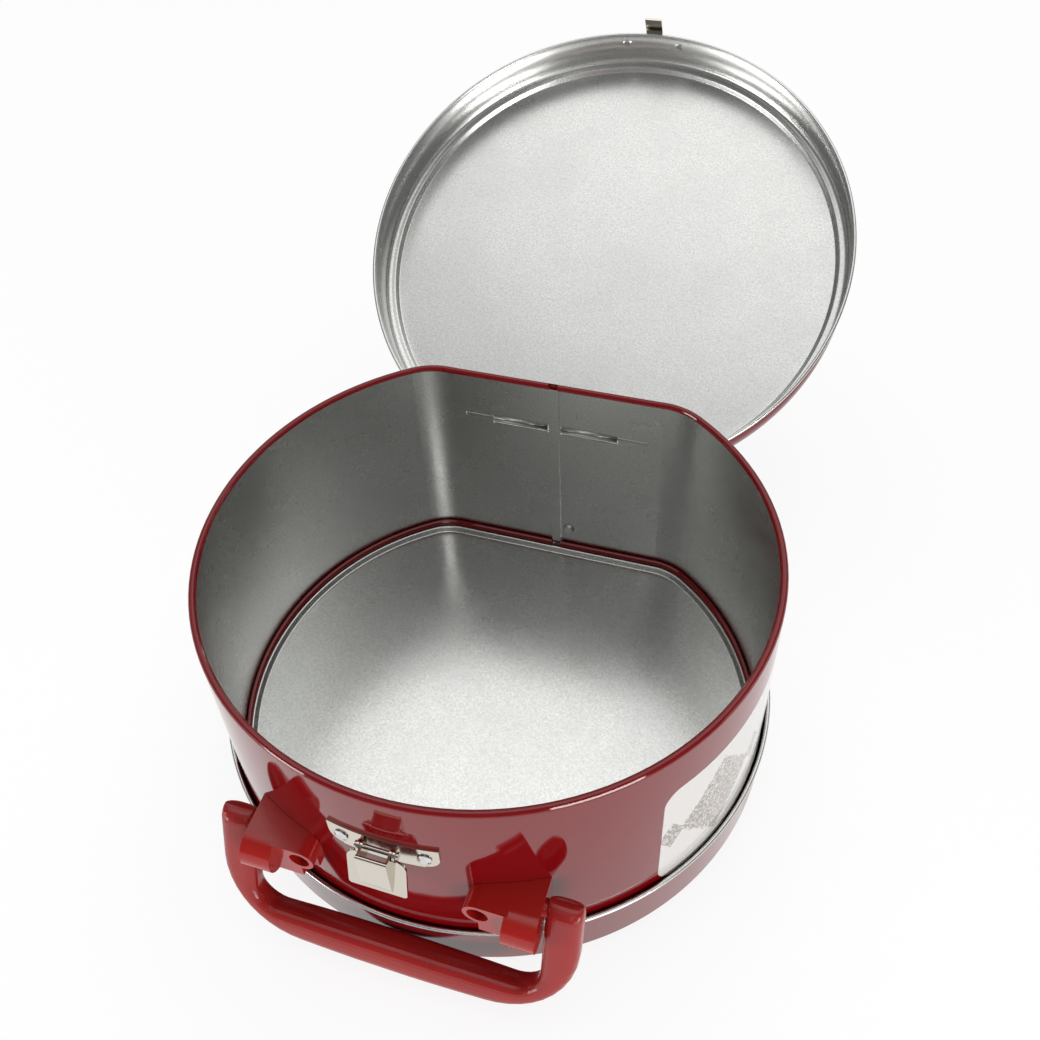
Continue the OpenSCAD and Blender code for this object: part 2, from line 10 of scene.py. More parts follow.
import bpy
import numpy as np
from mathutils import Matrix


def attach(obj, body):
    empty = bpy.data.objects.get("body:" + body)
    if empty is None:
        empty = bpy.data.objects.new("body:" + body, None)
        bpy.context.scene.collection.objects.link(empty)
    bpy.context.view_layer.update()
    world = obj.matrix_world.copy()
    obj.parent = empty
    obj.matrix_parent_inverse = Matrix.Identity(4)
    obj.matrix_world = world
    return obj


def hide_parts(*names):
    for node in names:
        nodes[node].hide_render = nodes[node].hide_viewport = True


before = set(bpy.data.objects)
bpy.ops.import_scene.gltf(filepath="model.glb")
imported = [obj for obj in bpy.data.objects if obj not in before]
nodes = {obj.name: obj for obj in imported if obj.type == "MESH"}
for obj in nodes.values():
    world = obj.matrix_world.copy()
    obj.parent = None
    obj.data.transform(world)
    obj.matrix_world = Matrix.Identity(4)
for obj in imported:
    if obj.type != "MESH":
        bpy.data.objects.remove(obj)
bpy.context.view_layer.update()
MM = 0.001
print("pieces:", len(nodes))

# %% [markdown]
# ## Camera
# The box is looked at from above its handle side, a little from the right. The lens is a normal
# one for a 36 mm wide picture, and a small shift puts the box where it belongs in the frame. The
# camera's place and turn are typed in, because a camera that is aimed at a point can't be rolled.

# %% Camera
SENSOR_W, LENS = 36, 38.769
SHIFT = (0.04308, -0.05269)
CAMERA_PLACE = (0.086895, -0.212386, 0.344596)
CAMERA_TURN = (45.578, 3.7322, 18.7502)
NEAREST_SEEN = 0.01

camera_data = bpy.data.cameras.new("camera")
camera_data.sensor_width = SENSOR_W
camera_data.lens = LENS
camera_data.shift_x, camera_data.shift_y = SHIFT
camera_data.clip_start = NEAREST_SEEN
camera = bpy.data.objects.new("camera", camera_data)
camera.location = CAMERA_PLACE
camera.rotation_euler = [math.radians(a) for a in CAMERA_TURN]
bpy.context.collection.objects.link(camera)
bpy.context.scene.camera = camera
bpy.context.scene.view_settings.view_transform = "Standard"
print("camera at", [round(v / MM) for v in camera.location], "mm")

# %% [markdown]
# ## Colours and nodes
# A colour is given as an sRGB hex value, but a shader works with linear light, so one function
# turns the one into the other. A second small function adds any node to a node tree, with its
# settings and its links, which keeps the materials below readable.


# %% Helpers for materials
def linear(code):
    """sRGB hex to linear RGBA: c / 12.92 up to 0.04045, and ((c + 0.055) / 1.055) ** 2.4 above it."""
    c = np.array([int(code[i:i + 2], 16) for i in (1, 3, 5)]) / 255
    return (*np.where(c > 0.04045, ((c + 0.055) / 1.055) ** 2.4, c / 12.92).tolist(), 1.0)


def add(tree, kind, inputs=None, **settings):
    """A node with its properties as settings. inputs maps a socket to a value or to a feeding socket."""
    node = tree.nodes.new("ShaderNode" + kind)
    for name, value in settings.items():
        setattr(node, name, value)
    for name, value in (inputs or {}).items():
        if isinstance(value, bpy.types.NodeSocket):
            tree.links.new(value, node.inputs[name])
        else:
            node.inputs[name].default_value = value
    return node


def new_finish(name):
    """A material with an empty tree: the material, its tree and the place of its surface shader."""
    material = bpy.data.materials.new(name)
    material.use_nodes = True
    material.node_tree.nodes.clear()
    surface = material.node_tree.nodes.new("ShaderNodeOutputMaterial").inputs["Surface"]
    return material, material.node_tree, surface


def dress(material, *names):
    """Puts a material in every slot of the named pieces."""
    for name in names:
        for slot in nodes[name].material_slots:
            slot.material = material
    print(material.name, "on", ", ".join(names))


print("a mid grey, #808080, is", round(linear("#808080")[0], 3), "in linear light")

# %% [markdown]
# ## Two faces of one sheet
# The sheet of tinplate has a printed and lacquered face outside and a bare one inside. The wall
# is one closed mesh, so its finish has to tell the two apart. Two materials would need the faces
# to be sorted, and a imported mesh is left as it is. So the shader decides: an outer face looks away
# from the upright line through the middle of the box, and an inner one looks towards it.

# %% Outside or inside
CLEARLY_OUT = 0.15


def looks_out(tree, position, normal):
    """1 where the surface looks away from the upright axis: dot(normal, unit(x, y, 0)) > CLEARLY_OUT."""
    level = add(tree, "VectorMath", {0: position, 1: (1, 1, 0)}, operation="MULTIPLY")
    away = add(tree, "VectorMath", {0: level.outputs[0]}, operation="NORMALIZE")
    facing = add(tree, "VectorMath", {0: normal, 1: away.outputs[0]}, operation="DOT_PRODUCT")
    out = add(tree, "Math", {0: facing.outputs["Value"], 1: CLEARLY_OUT}, operation="GREATER_THAN")
    return out.outputs[0]


print("outer within", round(math.degrees(math.acos(CLEARLY_OUT))), "degrees of straight out")

# %% [markdown]
# ## Lacquered tinplate
# Bare tinplate is thin steel with a coat of tin, cold rolled to a semi matt face. It mirrors its
# surroundings softly, and the rolled grain breaks up every highlight into tiny sparks. The grain
# is about 0.1 mm in truth. It is drawn at 0.7 mm, the smallest that still shows in the picture.
# The lacquered face is red ink under a hard clear gloss, a dielectric of IOR 1.5 that mirrors
# sharply. The sheet isn't quite flat, so what it mirrors wavers a little. Both faces go into one
# shader, whose colour, metalness, roughness and normal switch over with a mask.

# %% Tinplate with a red outside
GRAIN, WAVER, DRIFT = 0.7 * MM, 24 * MM, 35 * MM
GRAIN_DEPTH, WAVER_DEPTH = 0.08 * MM, 0.25 * MM
NOISE_LOW, NOISE_HIGH = 0.3, 0.7
TIN_DARK, TIN_LIGHT = "#C6C7C4", "#DEDFDC"
WALL_GLOSS, PAN_GLOSS, SATIN = 0.06, 0.10, 0.27
ROUGH_LESS, ROUGH_MORE = 0.03, 0.04


def tinplate(tree, surface, position, ink, red, gloss):
    """One shader for both faces of the sheet. red is 1 on the lacquered face and 0 on the bare one."""
    grain = add(tree, "TexNoise", {"Vector": position, "Scale": 1 / GRAIN, "Detail": 2.0, "Roughness": 0.6})
    waver = add(tree, "TexNoise", {"Vector": position, "Scale": 1 / WAVER, "Detail": 1.0})
    drift = add(tree, "TexNoise", {"Vector": position, "Scale": 1 / DRIFT, "Detail": 4.0, "Roughness": 0.6})
    bare = add(tree, "MapRange", {"Value": drift.outputs["Fac"], "From Min": NOISE_LOW,
                                  "From Max": NOISE_HIGH, "To Min": SATIN - ROUGH_LESS,
                                  "To Max": SATIN + ROUGH_MORE})
    rough = add(tree, "Mix", {0: red, 2: bare.outputs[0], 3: gloss})
    spangle = add(tree, "MapRange", {"Value": grain.outputs["Fac"], "From Min": NOISE_LOW,
                                     "From Max": NOISE_HIGH})
    tone = add(tree, "Mix", {0: spangle.outputs[0], 6: linear(TIN_DARK), 7: linear(TIN_LIGHT)},
               data_type="RGBA")
    colour = add(tree, "Mix", {0: red, 6: tone.outputs[2], 7: ink}, data_type="RGBA")
    metal = add(tree, "Math", {0: 1.0, 1: red}, operation="SUBTRACT")
    # the grain is only felt on the bare face, the waver on both
    depth = add(tree, "Math", {0: metal.outputs[0], 1: grain.outputs["Fac"]}, operation="MULTIPLY")
    wavy = add(tree, "Bump", {"Height": waver.outputs["Fac"], "Strength": 0.2, "Distance": WAVER_DEPTH})
    bump = add(tree, "Bump", {"Height": depth.outputs[0], "Strength": 0.22, "Distance": GRAIN_DEPTH,
                              "Normal": wavy.outputs["Normal"]})
    sheet = add(tree, "BsdfPrincipled", {"Base Color": colour.outputs[2], "Metallic": metal.outputs[0],
                                         "Roughness": rough.outputs[0], "Normal": bump.outputs["Normal"]})
    tree.links.new(sheet.outputs[0], surface)


print("grain drawn at", round(GRAIN / MM, 2), "mm, satin roughness", SATIN)

# %% [markdown]
# ## The wall
# The wall is printed flat and then rolled round, so its print has to be laid out along the arc and
# up the height. A print thrown on from one side would be simpler, and it would stretch towards
# the panel's ends. The arc is the angle from the front times the wall's radius. Its zero is in
# the middle of each side, and left and right are folded together, so both carry the same panel.

# %% Place on the wall
WALL_R, WALL_LOW, WALL_HIGH = 91.0 * MM, 3.45 * MM, 85.95 * MM
MIDDLE_Z = (WALL_LOW + WALL_HIGH) / 2

wall_sheet, tree, surface = new_finish("Tinplate_wall_red_lacquer")
place = add(tree, "TexCoord")
position, normal = place.outputs["Object"], place.outputs["Normal"]
axes = add(tree, "SeparateXYZ", {0: position})
side = add(tree, "Math", {0: axes.outputs["X"]}, operation="ABSOLUTE")
front = add(tree, "Math", {0: axes.outputs["Y"], 1: -1.0}, operation="MULTIPLY")
turn = add(tree, "Math", {0: side.outputs[0], 1: front.outputs[0]}, operation="ARCTAN2")
along = add(tree, "Math", {0: turn.outputs[0], 1: WALL_R, 2: -WALL_R * math.pi / 2},
            operation="MULTIPLY_ADD").outputs[0]
height = add(tree, "Math", {0: axes.outputs["Z"], 1: MIDDLE_Z}, operation="SUBTRACT").outputs[0]
upward = add(tree, "Math", {0: height}, operation="ABSOLUTE").outputs[0]
print("the wall's middle is", round(MIDDLE_Z / MM, 1), "mm up")

# %% [markdown]
# ## The panel on the wall
# On either side the wall carries a pale panel with round corners. It could be a mesh of its own,
# which would then have to follow the wall's curve. A distance does it in a few nodes and stays
# sharp: how far a point lies outside a smaller rectangle is zero inside it, and the points at one
# distance make a rectangle with round corners.

# %% Panel
PANEL_HALF_W, PANEL_HALF_H, PANEL_ROUND = 63.7 * MM, 25.0 * MM, 6.5 * MM
PANEL_BLUR = 0.1 * MM


def beyond(value, limit):
    """How far value lies outside -limit to limit: max(|value| - limit, 0)."""
    size = add(tree, "Math", {0: value}, operation="ABSOLUTE")
    over = add(tree, "Math", {0: size.outputs[0], 1: limit}, operation="SUBTRACT")
    return add(tree, "Math", {0: over.outputs[0], 1: 0.0}, operation="MAXIMUM").outputs[0]


corner = add(tree, "CombineXYZ", {"X": beyond(along, PANEL_HALF_W - PANEL_ROUND),
                                  "Y": beyond(height, PANEL_HALF_H - PANEL_ROUND)})
reach = add(tree, "VectorMath", {0: corner.outputs[0]}, operation="LENGTH")
panel = add(tree, "MapRange", {"Value": reach.outputs["Value"], "From Min": PANEL_ROUND + PANEL_BLUR,
                               "From Max": PANEL_ROUND - PANEL_BLUR})
print("panel", round(2 * PANEL_HALF_W / MM), "by", round(2 * PANEL_HALF_H / MM), "mm")

# %% [markdown]
# ## The print
# The print is a plain one of this lesson's own: a row of tall lozenges with small ones between
# them. A ping-pong of the place along the wall repeats one lozenge down the row. Each lozenge
# could be drawn by itself, and that would take many more nodes.

# %% Lozenges
LOZENGE_STEP, LOZENGE_BLUR = 40 * MM, 0.06
TALL_HALF_W, TALL_HALF_H = 17 * MM, 20.5 * MM
SMALL_HALF_W, SMALL_HALF_H = 5 * MM, 7 * MM

across = add(tree, "Math", {0: along, 1: LOZENGE_STEP / 2}, operation="PINGPONG").outputs[0]
between = add(tree, "Math", {0: LOZENGE_STEP / 2, 1: across}, operation="SUBTRACT").outputs[0]


def lozenge(from_centre, half_w, half_h):
    """1 inside a lozenge and 0 outside, with a soft edge: |x| / half_w + |y| / half_h against 1."""
    up_share = add(tree, "Math", {0: upward, 1: half_h}, operation="DIVIDE")
    total = add(tree, "Math", {0: from_centre, 1: 1 / half_w, 2: up_share.outputs[0]},
                operation="MULTIPLY_ADD")
    return add(tree, "MapRange", {"Value": total.outputs[0], "From Min": 1 + LOZENGE_BLUR,
                                  "From Max": 1 - LOZENGE_BLUR}).outputs[0]


shape = add(tree, "Math", {0: lozenge(across, TALL_HALF_W, TALL_HALF_H),
                           1: lozenge(between, SMALL_HALF_W, SMALL_HALF_H)}, operation="MAXIMUM")
print("lozenges every", round(LOZENGE_STEP / MM), "mm")

# %% [markdown]
# ## Stipple and inks
# The lozenges are made of grey-brown dots on a warm white. The dots are a noise cut off at a
# limit, and a lower limit inside the lozenges lets more of them through. A Voronoi pattern would
# give rounder dots, all of one size.

# %% Stipple and inks
STIPPLE = 0.9 * MM
GROUND_LIMIT, LOZENGE_LIMIT = 0.74, 0.44
DOT_FROM, DOT_TO, DOT_COVER = -0.03, 0.06, 0.85
PANEL_WHITE, DOT_BROWN, WALL_RED = "#E9E6E2", "#8F8077", "#7E0A10"

stipple = add(tree, "TexNoise", {"Vector": position, "Scale": 1 / STIPPLE, "Detail": 3.0, "Roughness": 0.7})
limit = add(tree, "MapRange", {"Value": shape.outputs[0], "To Min": GROUND_LIMIT, "To Max": LOZENGE_LIMIT})
dot = add(tree, "Math", {0: stipple.outputs["Fac"], 1: limit.outputs[0]}, operation="SUBTRACT")
dots = add(tree, "MapRange", {"Value": dot.outputs[0], "From Min": DOT_FROM, "From Max": DOT_TO,
                              "To Max": DOT_COVER})
print_colour = add(tree, "Mix", {0: dots.outputs[0], 6: linear(PANEL_WHITE), 7: linear(DOT_BROWN)},
                   data_type="RGBA")
wall_ink = add(tree, "Mix", {0: panel.outputs[0], 6: linear(WALL_RED), 7: print_colour.outputs[2]},
               data_type="RGBA")
print("dots of about", round(STIPPLE / MM, 1), "mm")

# %% [markdown]
# ## Where the wall is red
# The wall is red outside, and the red goes round both of its rolled edges, because the sheet
# curls inwards with its printed face out. So a narrow strip at either end of the wall is red
# whichever way it looks, and elsewhere the mask for outer faces tells.

# %% Wall finish
ROLLED_EDGE = 1.25 * MM

at_edge = add(tree, "Math", {0: upward, 1: (WALL_HIGH - WALL_LOW) / 2 - ROLLED_EDGE},
              operation="GREATER_THAN")
red = add(tree, "Math", {0: looks_out(tree, position, normal), 1: at_edge.outputs[0]}, operation="MAXIMUM")
tinplate(tree, surface, position, wall_ink.outputs[2], red.outputs[0], WALL_GLOSS)
dress(wall_sheet, "band")

# %% [markdown]
# ## Sheet metal as a surface
# A pressed pan is one sheet of even thickness. A flat shape with a Solidify modifier would give
# the thickness, and its rolled edge would be hard to steer. So the middle line of the section is
# worked out instead: straight runs joined by arcs, with a roll at the edge. The two faces lie half
# a thickness to either side of that line.

# %% Section of a sheet
SHEET = 0.4 * MM
FOLD_STEPS, ROLL_STEPS = 8, 20


def rolled(centre, radius, start, turn, steps=ROLL_STEPS):
    """An arc about centre: radius times (cos a, sin a), with a from start through turn, in degrees."""
    angle = np.radians(start + turn * np.linspace(0, 1, steps + 1))
    return centre + radius * np.stack([np.cos(angle), np.sin(angle)], -1)


def unit(vector):
    """A vector divided by its length."""
    return vector / np.linalg.norm(vector)


def folded(corners, radii):
    """The middle line of a folded sheet: at each corner an arc, tangent to both straight runs.

    With half the angle between the runs called h, the arc's centre lies radius / sin h from the
    corner, and it touches each run radius / tan h from the corner.
    """
    corners = np.array(corners, float)
    line = [corners[:1]]
    for before, corner, after, radius in zip(corners, corners[1:], corners[2:], radii):
        back, onward = unit(before - corner), unit(after - corner)
        half = math.acos(back @ onward) / 2
        centre = corner + unit(back + onward) * radius / math.sin(half)
        touches = [corner + run * radius / math.tan(half) - centre for run in (back, onward)]
        first, last = [math.atan2(touch[1], touch[0]) for touch in touches]
        sweep = (last - first + math.pi) % (2 * math.pi) - math.pi
        line.append(rolled(centre, radius, math.degrees(first), math.degrees(sweep), FOLD_STEPS))
    return np.concatenate(line + [corners[-1:]])


def both_faces(line):
    """The faces right and left of a middle line: the line plus and minus its normal times SHEET / 2."""
    step = np.diff(line, axis=0)
    step /= np.linalg.norm(step, axis=1, keepdims=True)
    along = np.concatenate([step[:1], step[:-1] + step[1:], step[-1:]])
    along /= np.linalg.norm(along, axis=1, keepdims=True)
    normal = np.stack([along[:, 1], -along[:, 0]], -1)
    return line + normal * SHEET / 2, line - normal * SHEET / 2


print("a quarter fold has", len(folded([(0, 0), (1, 0), (1, 1)], [0.2])), "points")

# %% [markdown]
# ## Outline of the box
# Seen from above the box is a round wall, two corner arcs and a flat side. The corner arcs touch
# both the wall and the flat side, which fixes their centres. At an offset u from the wall every
# arc just gets u longer in radius, so a point of the outline and its normal are all that is needed
# to carry a section round it. A Screw modifier could make a round pan, but not this outline.

# %% Outline of the box
CORNER_R, FLAT_Y = 22.3 * MM, 78.2 * MM
CORNER_Y = FLAT_Y - CORNER_R
CORNER_X = math.sqrt((WALL_R - CORNER_R) ** 2 - CORNER_Y ** 2)
JOIN = math.degrees(math.atan2(CORNER_Y, CORNER_X))
FLAT_STEPS, CORNER_STEPS, WALL_STEPS = 12, 16, 240


def flat_side(x):
    """Points and normals of the flat side: (x, FLAT_Y) and (0, 1)."""
    return np.stack([x, np.full_like(x, FLAT_Y)], -1), np.stack([0 * x, 0 * x + 1], -1)


def outline_arc(centre, radius, start, end, steps):
    """Points centre + radius * (cos a, sin a) and their normals (cos a, sin a), the last left out."""
    spoke = rolled(np.zeros(2), 1.0, start, end - start, steps)[:-1]
    return np.array(centre) + radius * spoke, spoke


def outline(x_right, x_left):
    """From x_right on the flat side clockwise round the box to x_left: line, arc, wall, arc, line."""
    parts = [flat_side(np.linspace(x_right, CORNER_X, FLAT_STEPS, endpoint=False)),
             outline_arc((CORNER_X, CORNER_Y), CORNER_R, 90, JOIN, CORNER_STEPS),
             outline_arc((0, 0), WALL_R, JOIN, -180 - JOIN, WALL_STEPS),
             outline_arc((-CORNER_X, CORNER_Y), CORNER_R, 180 - JOIN, 90, CORNER_STEPS),
             flat_side(np.linspace(-CORNER_X, x_left, FLAT_STEPS))]
    return [np.concatenate(column) for column in zip(*parts)]


print("corner arcs about x", round(CORNER_X / MM, 1), "y", round(CORNER_Y / MM, 1), "mm")

# %% [markdown]
# ## Skins on a grid
# A surface whose points lie in rows and columns needs no list of faces: the faces follow from the
# numbers of rows and columns. The rows run along the section and the columns round the outline.
# To know which way is out, the volume that the faces enclose is summed up. It comes out negative
# when they look inwards.


# %% Faces of a grid
def grid_triangles(rows, columns, wrap_rows, wrap_columns):
    """Two triangles for each square of a grid of points whose index is row * columns + column."""
    row = np.arange(rows if wrap_rows else rows - 1)[:, None]
    column = np.arange(columns if wrap_columns else columns - 1)[None]
    next_row, next_column = (row + 1) % rows, (column + 1) % columns
    a, b = row * columns + column, row * columns + next_column
    c, d = next_row * columns + next_column, next_row * columns + column
    halves = [np.stack(half, -1).reshape(-1, 3) for half in ([a, b, c], [a, c, d])]
    return np.concatenate(halves)


def outwards(points, triangles):
    """Turns the triangles round if they enclose a negative volume, the sum of p0 . (p1 x p2) / 6."""
    p = points[triangles]
    volume = np.einsum("ij,ij->", p[:, 0], np.cross(p[:, 1], p[:, 2])) / 6
    return triangles if volume > 0 else triangles[:, ::-1]


def swept(section, column, scale=1.0):
    """Points in rows and columns: scale * (base + u * normal) at height z, for (u, z) of a section."""
    base, normal = column
    xy = scale * (base[None] + section[:, None, :1] * normal[None])
    return np.concatenate([xy, np.broadcast_to(section[:, None, 1:], xy.shape[:2] + (1,))], -1)


print("a wrapped 3 by 4 grid has", len(grid_triangles(3, 4, True, True)), "triangles")

# %% [markdown]
# ## Strips and pans
# A rolled edge or a hinge tab is a strip of sheet along part of the outline, and its two ends are
# filled across the section. A pan goes all the way round. Its section starts on the floor, and
# from there rings of points shrink to the middle, so the floor is closed with faces of even size.

# %% Strips and pans
RINGS = 14


def carried(line, column):
    """A strip of sheet swept along an open outline, with its section filled in at both ends."""
    right, left = both_faces(line)
    points = swept(np.concatenate([right, left[::-1]]), column)
    rows, columns = points.shape[:2]
    k = np.arange(len(line) - 1)
    rim = np.stack([k, k + 1, rows - 2 - k, rows - 1 - k])
    cap = np.concatenate([rim[[0, 1, 2]].T, rim[[0, 2, 3]].T]) * columns
    tube = grid_triangles(rows, columns, True, False)
    # a known fault: the end faces point inwards, and the reversal belongs on the last column's
    triangles = np.concatenate([tube, cap[:, ::-1], cap + columns - 1])
    points = points.reshape(-1, 3)
    return points, outwards(points, triangles), np.repeat(np.arange(rows) < len(line), columns)


def pressed(line, column):
    """A pan: the section swept all round, its two inner ends closed by rings scaled down to the centre."""
    right, left = both_faces(line)
    shrink = np.linspace(0, 1, RINGS + 2)[1:-1]
    floors = np.repeat(right[:1], RINGS, 0), np.repeat(left[:1], RINGS, 0)
    section = np.concatenate([floors[0], right, left[::-1], floors[1]])
    scale = np.concatenate([shrink, np.ones(2 * len(line)), shrink[::-1]])
    points = swept(section, column, scale[:, None, None])
    rows, columns = points.shape[:2]
    points = np.concatenate([points.reshape(-1, 3), [[0, 0, right[0, 1]], [0, 0, left[0, 1]]]])
    j = np.arange(columns)
    centre, last_row = rows * columns, (rows - 1) * columns
    following = (j + 1) % columns
    fans = np.concatenate([np.stack([0 * j + centre, following, j], -1),
                           np.stack([0 * j + centre + 1, last_row + j, last_row + following], -1)])
    triangles = np.concatenate([grid_triangles(rows, columns, False, True), fans])
    outer = np.append(np.repeat(np.arange(rows) < RINGS + len(line), columns), [True, False])
    return points, outwards(points, triangles), outer


print("a pan's floor has", RINGS, "rings on either face")

# %% [markdown]
# ## Finish of the pans
# The pans are tinplate with a darker red lacquer. Each point of their meshes knows whether it
# belongs to the printed or the bare face, so an attribute is the mask, and it holds at every
# bend. A mask from the direction of the faces would fail in the roll, which turns right round.

# %% Finish of the pans
PAN_RED = "#7C1A22"


def pan_finish(name):
    """Tinplate whose lacquered side is told by the piece's own attribute."""
    material, tree, surface = new_finish(name)
    place = add(tree, "TexCoord").outputs["Object"]
    red = add(tree, "Attribute", attribute_name="lacquered").outputs["Fac"]
    tinplate(tree, surface, place, linear(PAN_RED), red, PAN_GLOSS)
    return material


def sheet_piece(name, skins, node, body, material):
    """One object from several skins. Its attribute lacquered is 1 where printed and 0 where bare."""
    all_points, all_triangles, all_outer = zip(*skins)
    starts = np.cumsum([0] + [len(points) for points in all_points])
    triangles = np.concatenate([part + start for part, start in zip(all_triangles, starts)])
    mesh = bpy.data.meshes.new(name)
    mesh.from_pydata(np.concatenate(all_points).tolist(), [], triangles.tolist())
    lacquered = mesh.attributes.new("lacquered", "FLOAT", "POINT")
    lacquered.data.foreach_set("value", np.concatenate(all_outer).astype(np.float32))
    mesh.polygons.foreach_set("use_smooth", np.ones(len(triangles), bool))
    mesh.materials.append(material)
    piece = bpy.data.objects.new(name, mesh)
    bpy.context.collection.objects.link(piece)
    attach(piece, body)
    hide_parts(node)
    print(name, len(triangles), "triangles")


# %% [markdown]
# ## Back pan
# Both pans have the same section. The floor is pressed out by under 2 mm, with a narrow step close
# to the wall, so the floor mirrors the wall right up to it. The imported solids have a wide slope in
# that place, and so these two pieces are made anew. The edge of the sheet is rolled outwards, which
# turns the bare face out and leaves a silver bead.

# %% Back pan
SKIRT_GAP, EDGE_R, PAN_ROUND = 0.8 * MM, 0.7 * MM, 2.1 * MM
PANEL_RISE, STEP_IN, STEP_OUT, STEP_ROUND = 1.8 * MM, -3.7 * MM, -2.5 * MM, 0.8 * MM
FLOOR_RUN = 3 * MM
PAN_SKIRT = 19.4 * MM
FULL_TURN = 282
CLOSING_STEP = 0.2 * MM


def pan_line(skirt):
    """Middle line of a pan: floor, step, ledge, rounded corner and skirt, as (offset, height).

    The offset counts from the wall outwards and the height from the ledge's outer face.
    """
    middle = SHEET / 2
    floor = middle - PANEL_RISE
    corners = [(STEP_IN - FLOOR_RUN, floor), (STEP_IN, floor), (STEP_OUT, middle),
               (SKIRT_GAP + middle, middle), (SKIRT_GAP + middle, skirt)]
    return folded(corners, [STEP_ROUND, STEP_ROUND, PAN_ROUND + middle])


def bead_line(skirt):
    """Middle line of the rolled edge: an arc from the skirt's end outwards through FULL_TURN."""
    return rolled(np.array([SKIRT_GAP + EDGE_R, skirt]), EDGE_R - SHEET / 2, 180, -FULL_TURN)


# the grid closes the last small step itself
round_the_box = outline(0.0, -CLOSING_STEP)
pan_section = np.concatenate([pan_line(PAN_SKIRT), bead_line(PAN_SKIRT)[1:]])
points, triangles, outer = pressed(pan_section, round_the_box)
sheet_piece("pan_sheet", [(points + (0, 0, PANEL_RISE), triangles, outer)], "back_pan", "case",
            pan_finish("Tinplate_pan_red_lacquer"))

# %% [markdown]
# ## Lid
# The lid is made closed, as the same form upside down on top of the box, and is then turned about
# its pins. That keeps every size readable, which a lid modelled in its open place wouldn't. Its
# bead stops short of the two hinge tabs, where the sheet runs on and curls round the pins.

# %% Lid
LID_SKIRT, LID_LEDGE = 16.2 * MM, 87.85 * MM
HINGE_Y, HINGE_Z, PIN_CURL_R, LID_OPEN = 78.15 * MM, 65.55 * MM, 1.03 * MM, 149.3
TAB_IN, TAB_OUT, TAB_AIR = 2.5 * MM, 23.5 * MM, 0.3 * MM
STRIP_POINTS = 3


def opened(skin):
    """Turns a skin about the pins by -LID_OPEN: y' = y cos a - z sin a and z' = y sin a + z cos a."""
    points, triangles, outer = skin
    a = math.radians(-LID_OPEN)
    turn = np.array([[1, 0, 0], [0, math.cos(a), -math.sin(a)], [0, math.sin(a), math.cos(a)]])
    pins = np.array([0, HINGE_Y, HINGE_Z])
    return (points - pins) @ turn.T + pins, triangles, outer


def turned_lid(skin):
    """A skin of the pan form as the lid: mirrored in z at the top of the box, then opened."""
    points, triangles, outer = skin
    return opened((points * (1, 1, -1) + (0, 0, LID_LEDGE), triangles[:, ::-1], outer))


def strip(x_from, x_to):
    """A short part of the flat side, from x_from to x_to."""
    return flat_side(np.linspace(x_from, x_to, STRIP_POINTS))


notch_out, notch_in = TAB_OUT + TAB_AIR, TAB_IN - TAB_AIR
pin_centre = np.array([HINGE_Y - FLAT_Y, HINGE_Z])
tab_top = [(PIN_CURL_R + HINGE_Y - FLAT_Y, LID_LEDGE - LID_SKIRT)]
tab_line = np.concatenate([tab_top, rolled(pin_centre, PIN_CURL_R, 0, -FULL_TURN)])
lid_skins = [turned_lid(pressed(pan_line(LID_SKIRT), round_the_box)),
             turned_lid(carried(bead_line(LID_SKIRT), outline(notch_out, -notch_out))),
             turned_lid(carried(bead_line(LID_SKIRT), strip(-notch_in, notch_in)))]
for x in (TAB_IN, -TAB_OUT):
    lid_skins.append(opened(carried(tab_line, strip(x, x + TAB_OUT - TAB_IN))))
sheet_piece("lid_sheet", lid_skins, "lid", "lid", pan_finish("Tinplate_lid_red_lacquer"))

# %% [markdown]
# ## Moulded plastic
# The handle and its two brackets are injection moulded in red polypropylene with a gloss face.
# Moulded gloss is never a perfect mirror: the face has shallow orange peel of a few millimetres,
# and the pigment is a shade darker in places. The brackets are a purer red and glossier than the
# handle. A flat red would look like paint, so noise drives both the pigment and the gloss.

# %% Handle and brackets
PIGMENT_CLOUD, ORANGE_PEEL, PEEL_DEPTH = 18 * MM, 2.5 * MM, 0.12 * MM
PLASTIC_IOR = 1.49


def moulded(name, light, dark, rough):
    """Gloss moulded plastic: two close pigments, a shallow orange peel, and a roughness that drifts."""
    material, tree, surface = new_finish(name)
    position = add(tree, "TexCoord").outputs["Object"]
    cloud = add(tree, "TexNoise", {"Vector": position, "Scale": 1 / PIGMENT_CLOUD, "Detail": 3.0})
    pigment = add(tree, "Mix", {0: cloud.outputs["Fac"], 6: linear(light), 7: linear(dark)},
                  data_type="RGBA")
    peel = add(tree, "TexNoise", {"Vector": position, "Scale": 1 / ORANGE_PEEL, "Detail": 2.0})
    bump = add(tree, "Bump", {"Height": peel.outputs["Fac"], "Strength": 0.15, "Distance": PEEL_DEPTH})
    gloss = add(tree, "MapRange", {"Value": cloud.outputs["Fac"], "From Min": NOISE_LOW,
                                   "From Max": NOISE_HIGH, "To Min": rough - ROUGH_LESS,
                                   "To Max": rough + ROUGH_MORE})
    shader = add(tree, "BsdfPrincipled", {"Base Color": pigment.outputs[2], "Roughness": gloss.outputs[0],
                                          "IOR": PLASTIC_IOR, "Normal": bump.outputs["Normal"]})
    tree.links.new(shader.outputs[0], surface)
    return material


dress(moulded("Polypropylene_red_handle", light="#A82421", dark="#9A1D1B", rough=0.24), "handle")
dress(moulded("Polypropylene_red_bracket", light="#AE2019", dark="#A01814", rough=0.16),
      "bracket_left", "bracket_right")

